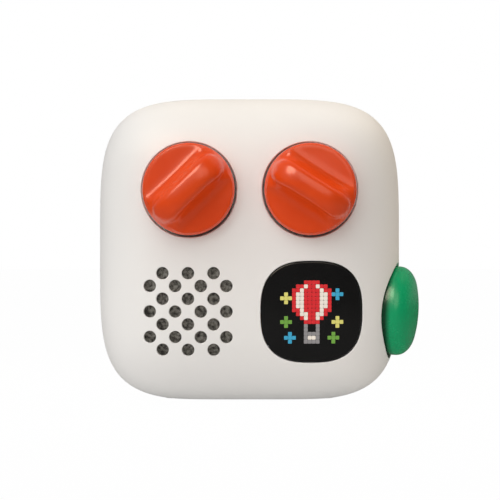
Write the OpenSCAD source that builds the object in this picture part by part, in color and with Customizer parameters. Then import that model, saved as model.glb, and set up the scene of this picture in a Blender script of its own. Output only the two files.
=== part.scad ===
// Pocket audio story player: a soft cube with two bar-grip knobs, a drilled
// speaker grille, a round-cornered display window and a domed side button.
// X is right, -Y is the front, Z is up; z = 0 is the surface it stands on.

/* [Casing] */
// half width of the casing
half_w = 35; // [25:0.5:50]
// half height of the casing above its middle
half_h = 35; // [25:0.5:50]
// half height below the middle before the base is cut flat
half_under = 35.5; // [25:0.5:51]
// half depth of the casing
half_d = 31; // [22:0.5:45]
// roundness of the outline, 2 is a circle
outline_n = 4.4; // [2.5:0.1:8]
// roundness of the front in depth
front_m = 3.6; // [2.2:0.1:8]
// roundness of the rear in depth
rear_m = 4.4; // [2.2:0.1:8]
// wall thickness
wall = 2; // [1.2:0.1:3]
// depth position of the joint between the casing halves
part_y = 8; // [4:0.5:14]
// the base is cut flat this far below the middle
base_cut = 34.85; // [25:0.05:50]
// how far the feet stand out
foot_proud = 0.3; // [0.2:0.1:2]
// depth position of the front pair of feet
foot_front = -4; // [-10:0.5:0]

/* [Knobs] */
// distance of the knobs from the centre line
knob_x = 13.55; // [10:0.05:20]
// height of the knobs above the middle
knob_z = 13.25; // [8:0.05:20]
// knob radius
knob_r = 10.25; // [7:0.05:13]
// tip of the grip in front of the middle
grip_tip = 40.5; // [36:0.1:46]
// direction of the left grip, anticlockwise from the right
left_turn = 44; // [-90:1:90]
// direction of the right grip
right_turn = -32; // [-90:1:90]
// push travel of the knobs
knob_push = 0.6; // [0.2:0.1:1]

/* [Grille] */
// grille centre, sideways
grille_x = -13.73; // [-20:0.05:-8]
// grille centre, height from the middle
grille_z = -14.05; // [-20:0.05:-8]
// distance between hole rows, and half the distance in a row
hole_pitch = 2.86; // [2:0.02:4]
// hole radius
hole_r = 1.39; // [0.5:0.01:1.9]

/* [Display] */
// window centre, sideways
window_x = 13.9; // [8:0.05:20]
// window centre, height from the middle
window_z = -14.15; // [-20:0.05:-8]
// half width of the window opening
window_half = 11.45; // [8:0.05:14]
// roundness of the window outline
window_n = 2.7; // [2:0.1:6]
// distance between picture points
pixel = 0.885; // [0.5:0.005:1.2]

/* [Side button] */
// button radius
button_r = 10.25; // [6:0.05:13]
// height of the dome over the casing
button_rise = 4.5; // [2:0.1:8]
// turn of the button's axis towards the front
button_yaw = 12.5; // [0:0.5:20]
// tilt of the button's axis downwards
button_dip = 2.8; // [0:0.1:10]
// gap between the button and the edge of its opening
button_gap = 0.75; // [0.2:0.05:1]
// push travel
button_push = 0.8; // [0.3:0.1:1]

/* [Card slot] */
// slot centre in depth
slot_y = -2.1; // [-5:0.1:3]
// half width of the slot
slot_half = 2.3; // [2.1:0.1:3]
// half length of the slot
slot_len = 28; // [20:0.5:29]

/* [Hidden] */
zc = base_cut + foot_proud;
eps = 0.02;
button_p = [34.37, -13.9, -14.33];
boss_at = 25.6;
speaker_y = -22.6;

// signed power
function sp(v, p) = sign(v) * pow(abs(v), p);
// one outline ring at depth y, shrunk by k, with the walls moved in by g
function ring(y, k, g, count) = [for (i = [0:count - 1])
  let (a = 360 * i / count, c = cos(a), s = sin(a))
  [(half_w - g) * k * sp(c, 2 / outline_n), y,
   ((s < 0 ? half_under : half_h) - g) * k * sp(s, 2 / outline_n)]];
// how much of the depth is left at shrink k
function bulge(k, m) = pow(1 - pow(k, m), 1 / m);
// depth of the front surface over the point x, z, with the walls moved in by g
function face_y(x, z, g) =
  let (s = pow(abs(x) / (half_w - g), outline_n)
    + pow(abs(z) / ((z < 0 ? half_under : half_h) - g), outline_n))
  -(half_d - g) * pow(1 - pow(s, front_m / outline_n), 1 / front_m);
// points of a rounded square with half width h
function squircle(h, n, count) = [for (i = [0:count - 1])
  let (a = 360 * i / count) [h * sp(cos(a), 2 / n), h * sp(sin(a), 2 / n)]];

// skin over a stack of rings of equal count, closed at both ends
module skin(rings) {
  c = len(rings[0]);
  n = len(rings);
  polyhedron(
    points = [for (r = rings) each r],
    faces = concat(
      [[for (i = [c - 1:-1:0]) i]],
      [for (j = [0:n - 2]) for (i = [0:c - 1])
        [j * c + i, j * c + (i + 1) % c, (j + 1) * c + (i + 1) % c, (j + 1) * c + i]],
      [[for (i = [0:c - 1]) (n - 1) * c + i]]));
}

ks = [0.2, 0.4, 0.55, 0.67, 0.77, 0.85, 0.91, 0.955, 0.985, 0.9975];

// half casing as a closed cup that opens towards +Y
module cup(m, y0, y1) {
  out = [for (k = ks) ring(-half_d * bulge(k, m), k, 0, 64)];
  inn = [for (k = ks) ring(-(half_d - wall) * bulge(k, m), k, wall, 64)];
  skin(concat(out, [ring(y0, 1, 0, 64), ring(y1, 1, 0, 64), ring(y1, 1, wall, 64),
    ring(y0, 1, wall, 64)], [for (i = [len(inn) - 1:-1:0]) inn[i]]));
}

// solid that fills the casing half up to g under its surface
module filling(m, g, y1) {
  skin(concat([for (k = ks) ring(-(half_d - g) * bulge(k, m), k, g, 48)],
    [ring(0, 1, g, 48), ring(y1, 1, g, 48)]));
}

// cylinder along Y from depth y0 to y1
module ycyl(x, z, r, y0, y1, n = 48) {
  translate([x, y1, z]) rotate([90, 0, 0]) cylinder(r = r, h = y1 - y0, $fn = n);
}

// box from corner a to corner b
module span(a, b) {
  translate(a) cube(b - a);
}

// plate along Y over a flat outline in X and Z
module yplate(y0, y1) {
  translate([0, y1, 0]) rotate([90, 0, 0]) linear_extrude(height = y1 - y0) children();
}

// casing outline moved in by g
module outline(g) {
  polygon([for (p = ring(0, 1, g, 64)) [p[0], p[2]]]);
}

// places children on the side button's axis, z outwards, x down
module on_button() {
  translate(button_p) rotate([0, 90 + button_dip, -button_yaw]) children();
}

// ---------------- casing ----------------

module front_bosses() {
  for (s = [-1, 1])
    ycyl(s * knob_x, knob_z, 12.4, -31, -25.6);
  difference() {
    ycyl(grille_x, grille_z, 15.3, -31, -20.6);
    ycyl(grille_x, grille_z, 14.1, -32, -20);
  }
  for (z = [6.2, 20.4])
    ycyl(0, z, 2.2, -31, -18.4);
  on_button() for (x = [-14.5, 14.5])
    translate([x, 0, -8.15]) cylinder(r = 1.8, h = 8, $fn = 32);
}

module front_shell() {
  color([0.89, 0.875, 0.855])
  translate([0, 0, zc])
  difference() {
    union() {
      cup(front_m, 0, part_y);
      intersection() {
        filling(front_m, 1, 0);
        front_bosses();
      }
      for (x = [-1, 1]) for (z = [-1, 1])
        ycyl(x * boss_at, z * boss_at, 4.2, 1.6, part_y - 0.4);
    }
    // recess for the rear half's lip
    yplate(part_y - 1.9, part_y + 1) difference() {
      outline(1);
      outline(2.5);
    }
    // knob pockets and bushing holes
    for (s = [-1, 1]) {
      ycyl(s * knob_x, knob_z, knob_r + 0.45, -45, -27.6);
      ycyl(s * knob_x, knob_z, 3.65, -45, -20);
    }
    // the cavity behind the speaker wall stays open
    ycyl(grille_x, grille_z, 14.1, -22.5, -20);
    // grille
    for (row = [-3:3]) {
      count = (row % 2 == 0) ? 4 : 3;
      for (i = [0:count - 1])
        ycyl(grille_x + (2 * i - count + 1) * hole_pitch,
          grille_z + row * hole_pitch, hole_r, -45, -18, 32);
    }
    // window opening
    yplate(-45, -20) translate([window_x, window_z])
      polygon(squircle(window_half, window_n, 48));
    // card slot
    span([-slot_len + slot_half, slot_y - slot_half, 20],
      [slot_len - slot_half, slot_y + slot_half, 40]);
    for (s = [-1, 1])
      translate([s * (slot_len - slot_half), slot_y, 20])
        cylinder(r = slot_half, h = 20, $fn = 32);
    // side button hole
    on_button() translate([0, 0, -7]) cylinder(r = button_r + button_gap, h = 20, $fn = 64);
    // flat base and foot recesses
    span([-40, -40, -40], [40, 40, -base_cut]);
    for (s = [-1, 1])
      translate([s * 17, foot_front, -base_cut - 1]) cylinder(r = 3.3, h = 1.8, $fn = 40);
    // pilot holes
    for (x = [-1, 1]) for (z = [-1, 1])
      ycyl(x * boss_at, z * boss_at, 1.1, 3, part_y + 1, 24);
    for (z = [6.2, 20.4])
      ycyl(0, z, 0.8, -24, -18, 24);
    on_button() for (x = [-14.5, 14.5])
      translate([x, 0, -8.5]) cylinder(r = 0.7, h = 3.5, $fn = 24);
  }
}

module rear_shell() {
  color([0.88, 0.865, 0.845])
  translate([0, 0, zc])
  difference() {
    union() {
      difference() {
        mirror([0, 1, 0]) cup(rear_m, -part_y - 2, -part_y + 1);
        span([-40, part_y - 2, -40], [40, part_y + 0.25, 40]);
      }
      yplate(part_y - 1.75, part_y + 2) difference() {
        outline(1.15);
        outline(2.35);
      }
      intersection() {
        mirror([0, 1, 0]) filling(rear_m, 1, -part_y - 0.25);
        for (x = [-1, 1]) for (z = [-1, 1])
          ycyl(x * boss_at, z * boss_at, 3.9, part_y + 0.7, 40);
      }
    }
    // screw ways
    for (x = [-1, 1]) for (z = [-1, 1]) {
      ycyl(x * boss_at, z * boss_at, 1.45, 0, 40, 32);
      ycyl(x * boss_at, z * boss_at, 2.6, 15, 40, 40);
    }
    // headphone hole
    ycyl(-9, -24.4, 3.15, 20, 40, 40);
    // charging slot
    hull_slot(9, -25.3, 3.05, 1.95, 20, 40);
    // flat base and foot recesses
    span([-40, -40, -40], [40, 40, -base_cut]);
    for (s = [-1, 1])
      translate([s * 17, 15, -base_cut - 1]) cylinder(r = 3.3, h = 1.8, $fn = 40);
  }
}

// slot with round ends along X, half straight length a and radius r
module hull_slot(x, z, a, r, y0, y1) {
  ycyl(x - a, z, r, y0, y1, 32);
  ycyl(x + a, z, r, y0, y1, 32);
  span([x - a, y0, z - r], [x + a, y1, z + r]);
}

module base_feet() {
  color([0.75, 0.73, 0.7])
  for (x = [-17, 17]) for (y = [foot_front, 15])
    translate([x, y, 0]) {
      cylinder(r1 = 2.95, r2 = 3.2, h = foot_proud, $fn = 40);
      translate([0, 0, foot_proud]) cylinder(r = 3.2, h = 0.75, $fn = 40);
    }
}

module case_screws() {
  color([0.55, 0.55, 0.56])
  translate([0, 0, zc])
  for (x = [-1, 1]) for (z = [-1, 1])
    difference() {
      union() {
        ycyl(x * boss_at, z * boss_at, 1.05, 3.4, 15.1, 32);
        ycyl(x * boss_at, z * boss_at, 2.3, 15.02, 16.9, 40);
      }
      for (t = [0, 90])
        translate([x * boss_at, 16.4, z * boss_at]) rotate([0, t, 0])
          cube([2.6, 1.6, 0.6], center = true);
    }
}

// ---------------- knobs and encoders ----------------

module knob(turn) {
  difference() {
    union() {
      rotate_extrude($fn = 96)
        polygon(concat([[0, 28.3], [knob_r - 0.15, 28.3], [knob_r, 28.5]],
          [for (a = [0:15:90]) [knob_r - 1.2 + 1.2 * cos(a), 32.8 + 1.2 * sin(a)]],
          [[7, 34.13], [4, 34.33], [0, 34.45]]));
      // the grip: a tapered plug with a long hollow down each side
      rotate([0, 0, turn]) difference() {
        rotate_extrude($fn = 96)
          polygon([[0, 31], [9.7, 31], [9.7, 34.9], [9.2, 36.4], [8.65, 37.8], [8, 38.9], [7.3, 39.6],
            [6.2, grip_tip - 0.3], [0, grip_tip]]);
        for (s = [-1, 1]) {
          translate([-15, s * 8.1, grip_tip - 1.8]) rotate([0, 90, 0])
            cylinder(r = 5.2, h = 30, $fn = 96);
          translate([-15, s > 0 ? 2.96 : -17.96, grip_tip - 1.7]) cube([30, 15, 5]);
          translate([-15, s > 0 ? 6.1 : -18.1, 33.7]) cube([30, 12, 10]);
        }
      }
    }
    translate([0, 0, 28]) cylinder(r = 5.6, h = 3.2, $fn = 48);
    difference() {
      translate([0, 0, 28]) cylinder(r = 3.01, h = 7.6, $fn = 48);
      translate([-5, 1.51, 27]) cube([10, 5, 10]);
    }
  }
}

module knob_frame(s) {
  translate([s * knob_x, 0, zc + knob_z]) rotate([90, 0, 0]) children();
}

module left_knob() {
  color([0.87, 0.3, 0.1]) knob_frame(-1) knob(left_turn);
}

module right_knob() {
  color([0.87, 0.3, 0.1]) knob_frame(1) knob(right_turn);
}

module shaft() {
  difference() {
    union() {
      translate([0, 0, 21.5]) cylinder(r = 3, h = 13.9, $fn = 48);
      translate([0, 0, 20]) cylinder(r = 1.5, h = 1.6, $fn = 32);
    }
    translate([-5, 1.5, 30]) cube([10, 5, 10]);
  }
}

module left_shaft() {
  color([0.7, 0.7, 0.72]) knob_frame(-1) shaft();
}

module right_shaft() {
  color([0.7, 0.7, 0.72]) knob_frame(1) shaft();
}

module push_collar() {
  difference() {
    translate([0, 0, 19.7]) cylinder(r = 3.8, h = 1.6, $fn = 48);
    translate([0, 0, 19.9]) cylinder(r = 1.56, h = 3, $fn = 32);
  }
}

module left_push_collar() {
  color([0.3, 0.3, 0.32]) knob_frame(-1) push_collar();
}

module right_push_collar() {
  color([0.3, 0.3, 0.32]) knob_frame(1) push_collar();
}

module encoder() {
  difference() {
    union() {
      translate([-6, -6.5, 18.5]) cube([12, 13, 7]);
      translate([0, 0, 25.4]) cylinder(r = 3.5, h = 4.8, $fn = 48);
      for (x = [-2.5, 0, 2.5])
        translate([x - 0.4, -7.6, 19]) cube([0.8, 1.4, 0.5]);
      for (x = [-6.6, 5.8])
        translate([x, -1, 18.5]) cube([0.8, 2, 5]);
    }
    translate([0, 0, 17]) cylinder(r = 3.06, h = 15, $fn = 48);
    translate([0, 0, 18.9]) cylinder(r = 4.2, h = 4.8, $fn = 48);
  }
}

module left_encoder() {
  color([0.42, 0.5, 0.46]) knob_frame(-1) encoder();
}

module right_encoder() {
  color([0.42, 0.5, 0.46]) knob_frame(1) encoder();
}

module bushing_nuts() {
  color([0.72, 0.72, 0.7])
  for (s = [-1, 1]) knob_frame(s) difference() {
    translate([0, 0, 27.62]) cylinder(r = 5.2, h = 1.6, $fn = 6);
    translate([0, 0, 27]) cylinder(r = 3.52, h = 4, $fn = 48);
  }
}

module control_board() {
  color([0.1, 0.35, 0.2])
  translate([0, 0, zc])
  difference() {
    span([-23, -18.38, 4.6], [23, -16.8, 22]);
    for (z = [6.2, 20.4]) ycyl(0, z, 0.9, -20, -15, 24);
    span([-4, -19, 10], [4, -16, 16]);
  }
}

module board_screws() {
  color([0.6, 0.6, 0.62])
  translate([0, 0, zc])
  for (z = [6.2, 20.4])
    difference() {
      union() {
        ycyl(0, z, 0.75, -22, -16.7, 24);
        ycyl(0, z, 1.5, -16.78, -15.6, 32);
      }
      for (t = [0, 90])
        translate([0, -15.8, z]) rotate([0, t, 0]) cube([1.8, 1, 0.4], center = true);
    }
}

// ---------------- speaker ----------------

module speaker_cloth() {
  c = 36;
  rs = [2, 5, 8, 10.5, 12.6];
  color([0.3, 0.3, 0.3])
  translate([0, 0, zc])
  skin(concat(
    [for (r = rs) [for (i = [0:c - 1])
      let (x = grille_x + r * cos(360 * i / c), z = grille_z + r * sin(360 * i / c))
      [x, face_y(x, z, wall) + 0.3, z]]],
    [for (j = [4:-1:0]) [for (i = [0:c - 1])
      let (x = grille_x + rs[j] * cos(360 * i / c), z = grille_z + rs[j] * sin(360 * i / c))
      [x, face_y(x, z, wall) + 0.65, z]]]));
}

module at_speaker() {
  translate([grille_x, speaker_y, zc + grille_z]) rotate([90, 0, 0]) children();
}

module speaker_gasket() {
  color([0.13, 0.13, 0.14])
  at_speaker() translate([0, 0, 0.02]) difference() {
    cylinder(r = 13.5, h = 0.7, $fn = 64);
    translate([0, 0, -1]) cylinder(r = 12.3, h = 3, $fn = 64);
  }
}

module speaker_frame() {
  color([0.2, 0.2, 0.21])
  at_speaker() difference() {
    rotate_extrude($fn = 72)
      polygon([[12.4, 0], [13.6, 0], [13.6, -1.2], [12.9, -1.6], [8.6, -9.3], [8.6, -10.4],
        [4.6, -10.4], [4.6, -9.6], [7.7, -9.6], [11.6, -1.4], [12.4, -1.2]]);
    for (a = [45:90:315]) rotate([0, 0, a])
      translate([7, -3.4, -8.4]) cube([8, 6.8, 5.6]);
  }
}

module speaker_magnet() {
  color([0.62, 0.62, 0.63])
  at_speaker() rotate_extrude($fn = 72)
    polygon([[0, -15.4], [8, -15.4], [8, -10.45], [4.5, -10.45], [4.5, -14.2], [3.55, -14.2],
      [3.55, -10], [0, -10]]);
}

module speaker_cone() {
  color([0.16, 0.16, 0.17])
  at_speaker() rotate_extrude($fn = 72)
    polygon([[4.15, -6.6], [10.2, -1], [10.9, -1], [10.9, -0.7], [10.1, -0.7], [3.95, -6.4]]);
}

module voice_coil() {
  color([0.72, 0.4, 0.2])
  at_speaker() rotate_extrude($fn = 72)
    polygon([[3.88, -13.2], [4.14, -13.2], [4.14, -6.62], [3.88, -6.42]]);
}

module dust_cap() {
  color([0.2, 0.2, 0.21])
  at_speaker() rotate_extrude($fn = 72)
    polygon(concat([for (a = [0:15:90]) [4.7 * cos(a), -5.62 + 1.9 * sin(a)]],
      [for (a = [90:-15:0]) [4.35 * cos(a), -5.62 + 1.6 * sin(a)]]));
}

module speaker_surround() {
  color([0.1, 0.1, 0.1])
  at_speaker() rotate_extrude($fn = 72)
    polygon(concat([[10.5, -0.68], [10.5, -0.4]],
      [for (a = [180:-30:0]) [11.45 + 0.75 * cos(a), -0.4 + 0.8 * sin(a)]],
      [[12.36, -0.4], [12.36, -0.68], [11.9, -0.68]],
      [for (a = [0:30:180]) [11.45 + 0.45 * cos(a), -0.4 + 0.5 * sin(a)]], [[11, -0.68]]));
}

// ---------------- display ----------------

module display_window() {
  c = 48;
  color([0.03, 0.03, 0.035])
  translate([0, 0, zc])
  skin(concat(
    [for (s = [0.2, 0.42, 0.62, 0.8, 0.93, 1])
      [for (p = squircle(window_half - 0.15, window_n, c))
        let (x = window_x + s * p[0], z = window_z + s * p[1])
        [x, face_y(x, z, 0) + 0.12, z]]],
    [[for (p = squircle(window_half - 0.15, window_n, c))
      [window_x + p[0], -26.3, window_z + p[1]]]]));
}

// the picture, top row first: r red, w pale, b blue, g green, y yellow, k grey
picture = [
  "......rrrr......",
  "....rrwrrwrr....",
  "...rrwrrrrwrr.b.",
  ".y.rwwrrrrwwrbbb",
  "yyyrwwrrrrwwr.b.",
  ".y.rwwrrrrwwr...",
  "...rwwrrrrwwr...",
  "...rrwrrrrwrr...",
  "....rwwrrwwr....",
  ".g...rwrrwr...y.",
  "ggg...rrrr...yyy",
  ".g....k..k....y.",
  "......k..k......",
  "..b...kkkk...g..",
  ".bbb..kwwk..ggg.",
  "..b...kkkk...g.."];

module tiles(letter) {
  translate([0, 0, zc])
  for (j = [0:15]) for (i = [0:15])
    if (picture[j][i] == letter) {
      x = window_x + (i - 7.5) * pixel;
      z = window_z + (7.5 - j) * pixel;
      translate([x, face_y(x, z, 0) + 0.17, z])
        cube([pixel - 0.03, 0.18, pixel - 0.03], center = true);
    }
}

module picture_red() {
  color([0.85, 0.16, 0.13]) tiles("r");
}

module picture_pale() {
  color([0.95, 0.9, 0.84]) tiles("w");
}

module picture_blue() {
  color([0.25, 0.66, 0.8]) tiles("b");
}

module picture_green() {
  color([0.45, 0.68, 0.25]) tiles("g");
}

module picture_yellow() {
  color([0.9, 0.85, 0.45]) tiles("y");
}

module picture_grey() {
  color([0.55, 0.55, 0.57]) tiles("k");
}

module diffuser_film() {
  color([0.9, 0.9, 0.9])
  translate([window_x, 0, zc + window_z]) span([-8, -26.28, -8], [8, -26.02, 8]);
}

module pixel_grid() {
  color([0.12, 0.12, 0.13])
  translate([window_x, 0, zc + window_z])
  for (i = [0:16]) {
    p = (i - 8) * pixel;
    span([p - 0.08, -26, -7.3], [p + 0.08, -23.5, 7.3]);
    span([-7.3, -26, p - 0.08], [7.3, -23.5, p + 0.08]);
  }
}

module display_carrier() {
  color([0.09, 0.09, 0.1])
  translate([0, 0, zc]) yplate(-25.9, -24.4) translate([window_x, window_z])
    difference() {
      polygon(squircle(10.8, window_n, 48));
      square(16.6, center = true);
    }
}

module light_board() {
  color([0.1, 0.33, 0.2])
  translate([window_x, 0, zc + window_z]) union() {
    span([-9, -23.45, -9], [9, -22.2, 9]);
    span([-4, -22.21, -5.5], [-1, -21.4, -1.5]);
    span([1, -22.21, -8], [7, -20.9, -5.5]);
  }
}

// ---------------- side button ----------------

module button_cap() {
  color([0, 0.5, 0.28])
  translate([0, 0, zc]) on_button() rotate_extrude($fn = 96)
    polygon(concat([[0, -8.75], [2, -8.75], [2, 1.4], [8.6, 1.4], [8.6, -6.5], [11.45, -6.5],
        [11.45, -5.6], [button_r, -5.6], [button_r, 0]],
      [for (a = [0:10:90]) [button_r - 5.2 + 5.2 * cos(a), 3.9 * sin(a)]],
      [[button_r - 7.5, button_rise - 0.22], [0, button_rise]]));
}

module button_bellows() {
  color([0.75, 0.75, 0.73])
  translate([0, 0, zc]) on_button() rotate_extrude($fn = 64)
    polygon([[4.6, -8.1], [6.6, -8.1], [6.6, -7.2], [5.6, -6.2], [6.6, -4.4], [5.6, -2.6],
      [6.6, -0.8], [6.6, 1.3], [5.9, 1.3], [5.9, -0.6], [4.8, -2.6], [5.9, -4.4], [4.6, -6.6]]);
}

module button_bracket() {
  color([0.14, 0.14, 0.15])
  translate([0, 0, zc]) on_button() difference() {
    union() {
      translate([-12, -6, -9.2]) cube([24, 12, 1]);
      translate([-15.8, -2.2, -9.2]) cube([31.6, 4.4, 1]);
      for (x = [-8, 8]) translate([x, 0, -13.48]) cylinder(r = 1.3, h = 4.4, $fn = 32);
    }
    translate([0, 0, -10]) cylinder(r = 2.08, h = 3, $fn = 40);
    for (x = [-14.5, 14.5]) translate([x, 0, -10]) cylinder(r = 1, h = 3, $fn = 24);
  }
}

module switch_body() {
  color([0.1, 0.1, 0.1])
  translate([0, 0, zc]) on_button() difference() {
    translate([-3, -3, -13.48]) cube([6, 6, 3.3]);
    translate([0, 0, -12.6]) cylinder(r = 2, h = 4, $fn = 32);
  }
}

module switch_plunger() {
  color([0.85, 0.85, 0.8])
  translate([0, 0, zc]) on_button() translate([0, 0, -11.6])
    cylinder(r = 1.7, h = 2.8, $fn = 32);
}

module switch_board() {
  color([0.1, 0.33, 0.2])
  translate([0, 0, zc]) on_button() translate([-10.5, -5, -15]) cube([21, 10, 1.5]);
}

// ---------------- card chute and antenna ----------------

module card_chute() {
  color([0.17, 0.17, 0.18])
  translate([0, 0, zc])
  intersection() {
    difference() {
      span([-29.4, slot_y - 3.2, 2], [29.4, slot_y + 3.2, 33]);
      span([-28.4, slot_y - slot_half, 3], [28.4, slot_y + slot_half, 34]);
    }
    yplate(-8, 4) outline(2.35);
  }
  color([0.17, 0.17, 0.18])
  translate([0, 0, zc])
  for (x = [-28.45, 27.4]) for (y = [slot_y - slot_half - 0.05, slot_y + 0.9])
    translate([x, y, 2.9]) cube([1.05, slot_half - 0.85, 18]);
}

module antenna_board() {
  color([0.1, 0.33, 0.2])
  translate([0, 0, zc]) span([-20, 1.15, 5], [20, 1.95, 27]);
}

module antenna_coil() {
  color([0.75, 0.45, 0.2])
  translate([0, 0, zc]) for (i = [0:3]) {
    a = 18.5 - 1.3 * i;
    b = 9.6 - 1.3 * i;
    translate([0, 2.1, 16]) rotate([90, 0, 0]) linear_extrude(height = 0.13) difference() {
      square([2 * a, 2 * b], center = true);
      square([2 * a - 1.2, 2 * b - 1.2], center = true);
    }
  }
}

// ---------------- power and electronics ----------------

module battery_pack() {
  color([0.55, 0.57, 0.6])
  translate([0, 0, zc]) {
    span([-20.5, 9.6, -17], [20.5, 15.4, 15]);
    translate([-8, 10.4, 14.9]) cube([16, 4.2, 1.6]);
  }
}

module main_board() {
  color([0.08, 0.3, 0.2])
  translate([0, 0, zc]) difference() {
    span([-19, 17.2, -17.5], [19, 18.8, 20]);
    for (x = [-16.5, 16.5]) for (z = [-15, 17.5]) ycyl(x, z, 1.2, 16, 20, 24);
  }
}

module shield_can() {
  color([0.72, 0.73, 0.74])
  translate([0, 0, zc]) difference() {
    span([-12, 18.82, 0], [6, 21.2, 14]);
    span([-11.8, 18, 0.2], [5.8, 21, 13.8]);
  }
}

module main_chips() {
  color([0.07, 0.07, 0.08])
  translate([0, 0, zc]) {
    span([-10, 18.82, -12], [-2, 20, -4]);
    span([3, 18.82, -13], [9, 19.9, -6]);
    span([9.5, 18.82, 2], [15, 20.2, 12]);
    span([12, 18.82, -8], [14.5, 19.7, -3]);
  }
}

module port_board() {
  color([0.1, 0.33, 0.2])
  translate([0, 0, zc]) span([-15, 9.5, -28.2], [15, 23.5, -27]);
}

module charge_socket() {
  color([0.7, 0.7, 0.72])
  translate([0, 0, zc]) difference() {
    union() {
      hull_slot(9, -25.3, 2.85, 1.65, 20.6, 28.2);
      span([5.2, 21, -26.98], [12.8, 25, -25]);
    }
    hull_slot(9, -25.3, 2.85, 1.35, 21.4, 29);
  }
}

module charge_tongue() {
  color([0.12, 0.12, 0.13])
  translate([0, 0, zc]) span([6, 21.42, -25.6], [12, 27.4, -25]);
}

module headphone_socket() {
  color([0.1, 0.1, 0.11])
  translate([0, 0, zc]) difference() {
    union() {
      span([-12, 14, -26.98], [-6, 26, -21.9]);
      ycyl(-9, -24.4, 2.9, 25.9, 28.4);
    }
    ycyl(-9, -24.4, 1.8, 14.9, 30);
  }
}

// bent wire of radius r from a to c, drawn towards b
module lead(a, b, c, r) {
  at = [for (i = [0:14]) let (t = i / 14) (1 - t) * (1 - t) * a + 2 * t * (1 - t) * b + t * t * c];
  way = [for (i = [0:14]) let (t = i / 14, d = (1 - t) * (b - a) + t * (c - b)) d / norm(d)];
  skin([for (i = [0:14]) let (w = cross(way[i], [1, 0, 0]), u = w / norm(w), v = cross(u, way[i]))
    [for (q = [0:45:315]) at[i] + r * (cos(q) * u + sin(q) * v)]]);
}

module speaker_leads() {
  color([0.75, 0.1, 0.1])
  translate([0, 0, zc]) {
    lead([-22.6, -12.6, -13.4], [-25.4, 2, -12.5], [-20.4, 17.9, -3], 0.45);
    lead([-22.6, -12.6, -15.2], [-26.8, 2, -15], [-20.4, 17.9, -5], 0.45);
  }
}

module battery_leads() {
  color([0.1, 0.1, 0.1])
  translate([0, 0, zc]) {
    lead([-3, 12.4, 16.6], [-3.4, 12.6, 22], [-3.8, 17.9, 21], 0.5);
    lead([3, 12.4, 16.6], [3.4, 12.6, 22], [3.8, 17.9, 21], 0.5);
  }
}

module display_ribbon() {
  color([0.7, 0.5, 0.2])
  translate([0, 0, zc]) translate([2.4, 0, -22]) rotate([0, 0, 0])
    linear_extrude(height = 7)
      polygon([[2.6, -21.9], [2.6, -21.4], [0.25, -21.4], [0.25, 8.8], [0, 8.8], [0, -21.7]]);
}

front_shell();
rear_shell();
base_feet();
case_screws();
left_knob();
right_knob();
left_shaft();
right_shaft();
left_push_collar();
right_push_collar();
left_encoder();
right_encoder();
bushing_nuts();
control_board();
board_screws();
speaker_cloth();
speaker_gasket();
speaker_frame();
speaker_magnet();
speaker_cone();
voice_coil();
dust_cap();
speaker_surround();
display_window();
picture_red();
picture_pale();
picture_blue();
picture_green();
picture_yellow();
picture_grey();
diffuser_film();
display_carrier();
pixel_grid();
light_board();
button_cap();
button_bellows();
button_bracket();
switch_body();
switch_plunger();
switch_board();
card_chute();
antenna_board();
antenna_coil();
battery_pack();
main_board();
shield_can();
main_chips();
port_board();
charge_socket();
charge_tongue();
headphone_socket();
speaker_leads();
battery_leads();
display_ribbon();
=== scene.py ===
import math
import bpy
import numpy as np
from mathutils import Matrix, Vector
from mathutils.geometry import delaunay_2d_cdt


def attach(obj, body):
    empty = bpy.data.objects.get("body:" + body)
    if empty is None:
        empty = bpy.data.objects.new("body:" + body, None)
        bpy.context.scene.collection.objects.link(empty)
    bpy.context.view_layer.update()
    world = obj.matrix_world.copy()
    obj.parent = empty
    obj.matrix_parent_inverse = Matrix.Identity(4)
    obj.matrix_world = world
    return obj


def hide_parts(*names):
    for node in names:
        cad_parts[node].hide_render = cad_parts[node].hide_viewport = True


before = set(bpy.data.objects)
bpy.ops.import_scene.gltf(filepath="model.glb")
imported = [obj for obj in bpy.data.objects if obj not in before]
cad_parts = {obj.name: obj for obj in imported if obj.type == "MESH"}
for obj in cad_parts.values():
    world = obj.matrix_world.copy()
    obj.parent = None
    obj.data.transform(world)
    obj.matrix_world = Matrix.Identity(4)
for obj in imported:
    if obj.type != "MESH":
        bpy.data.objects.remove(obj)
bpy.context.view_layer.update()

# ---- Camera ----
# A long lens level with the middle of the casing and square to its face; the small shift
# centres the part as the picture has it.
distance, eye_level = 0.480, 0.03515
focal_px, picture_px, sensor_mm = 2016, 500, 36
shift_right_px, shift_up_px = 0.5, -1.3
camera = bpy.data.objects.new("camera", bpy.data.cameras.new("camera"))
bpy.context.collection.objects.link(camera)
camera.location = (0, -distance, eye_level)
camera.rotation_euler = (math.radians(90), 0, 0)
camera.data.lens = focal_px / picture_px * sensor_mm
camera.data.shift_x = shift_right_px / picture_px
camera.data.shift_y = shift_up_px / picture_px
camera.data.clip_start = 0.02
bpy.context.scene.camera = camera

# ---- Casing, both halves ----
# Two injection-moulded shells in a warm off-white, satin plastic with a fine moulded grain,
# pushed together lip into groove and held by four screws from the rear.
half_width, half_height, half_under, half_depth = 35.0, 35.0, 35.5, 31.0
middle = 35.15            # height of the casing's middle over the floor
base_level = -34.85       # the flat base, from the middle
corner_power = 4.4        # roundness of the outline
wall = 2.0
front_power, front_joint = 3.6, 8.0     # roundness from face to sides, and where the half ends
rear_power, rear_joint = 4.4, 8.25
outline_steps = 200
screw_at = 25.6           # of each screw, across and up from the middle
to_right, to_rear, to_front, upward = (1, 0, 0), (0, 1, 0), (0, -1, 0), (0, 0, 1)
casing_tint = (0.820, 0.805, 0.780)


def bent(value, power):
    return np.sign(value) * np.abs(value) ** power


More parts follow.
